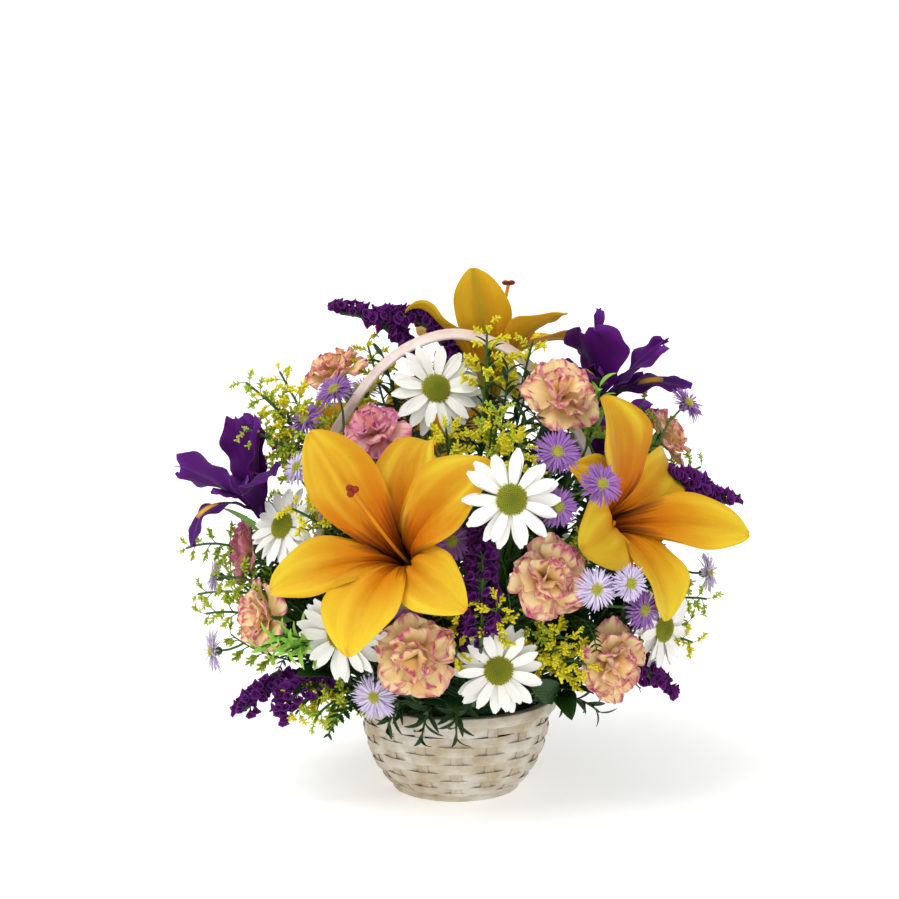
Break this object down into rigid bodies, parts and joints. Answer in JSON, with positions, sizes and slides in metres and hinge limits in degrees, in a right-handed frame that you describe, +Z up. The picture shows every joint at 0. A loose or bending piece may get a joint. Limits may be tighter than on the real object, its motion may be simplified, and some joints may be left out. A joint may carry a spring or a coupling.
{
  "type": "flower basket arrangement",
  "caption": "Round arrangement of lilies, irises, daisies, carnations and filler sprays on wet foam, in a low woven basket with a bent wood handle.",
  "frame": {"origin": "centre of the basket's flat foot, on the surface that it stands on", "axes": "+Z up, the front faces -Y, and +X runs to the right along the line of the handle's two ends"},
  "size_m": [0.3361, 0.3147, 0.3179],
  "materials": {
    "basket_wood": "whitewashed chip wood, matt, in thin woven strips",
    "handle_wood": "whitewashed bent wood strip, matt",
    "liner_plastic": "thin dark green moulded plastic",
    "wet_foam": "wet green floral foam, fine open cells",
    "green_stem": "fresh green stem, slightly waxy",
    "fern_leaf": "dark green leaf, slightly waxy",
    "lily_petal": "golden yellow petal with an orange midrib, satin",
    "iris_petal": "deep violet petal with a yellow blotch, velvety",
    "daisy_petal": "white petal, satin, round a green and yellow disc",
    "carnation_petal": "peach petal with a magenta pink edge, matt",
    "aster_petal": "lavender ray, matt, round a yellow disc",
    "statice_floret": "papery dark violet floret on a green calyx",
    "goldenrod_bud": "small yellow buds on green branchlets"
  },
  "bodies": {
    "root": {"aster_back": "aster_petal", "aster_centre": "aster_petal", "aster_front_low": "aster_petal", "aster_left": "aster_petal", "aster_right": "aster_petal", "aster_right_low": "aster_petal", "aster_top_left": "aster_petal", "basket": "basket_wood", "carnation_back": "carnation_petal", "carnation_centre_right": "carnation_petal", "carnation_far_left": "carnation_petal", "carnation_far_right": "carnation_petal", "carnation_front": "carnation_petal", "carnation_inner_left": "carnation_petal", "carnation_low_left": "carnation_petal", "carnation_low_right": "carnation_petal", "carnation_top_left": "carnation_petal", "carnation_top_right": "carnation_petal", "daisy_back_high": "daisy_petal", "daisy_back_low": "daisy_petal", "daisy_centre": "daisy_petal", "daisy_left": "daisy_petal", "daisy_low_front": "daisy_petal", "daisy_low_left": "daisy_petal", "daisy_low_right": "daisy_petal", "daisy_top": "daisy_petal", "fern_back": "fern_leaf", "fern_left": "fern_leaf", "fern_low_front": "fern_leaf", "fern_low_left": "fern_leaf", "foam": "wet_foam", "goldenrod_centre": "goldenrod_bud", "goldenrod_left": "goldenrod_bud", "goldenrod_low_left": "goldenrod_bud", "goldenrod_low_right": "goldenrod_bud", "goldenrod_top_centre": "goldenrod_bud", "goldenrod_top_left": "goldenrod_bud", "goldenrod_upper_left": "goldenrod_bud", "handle": "handle_wood", "iris_back": "iris_petal", "iris_back_stem": "green_stem", "iris_left": "iris_petal", "iris_left_stem": "green_stem", "iris_top_right": "iris_petal", "iris_top_right_stem": "green_stem", "lily_back": "lily_petal", "lily_back_stem": "green_stem", "lily_front_left": "lily_petal", "lily_front_left_stem": "green_stem", "lily_right": "lily_petal", "lily_right_stem": "green_stem", "lily_top": "lily_petal", "lily_top_stem": "green_stem", "liner": "liner_plastic", "statice_back": "statice_floret", "statice_centre": "statice_floret", "statice_low_left": "statice_floret", "statice_low_right": "statice_floret", "statice_right": "statice_floret", "statice_top_left": "statice_floret"}
  },
  "joints": []
}
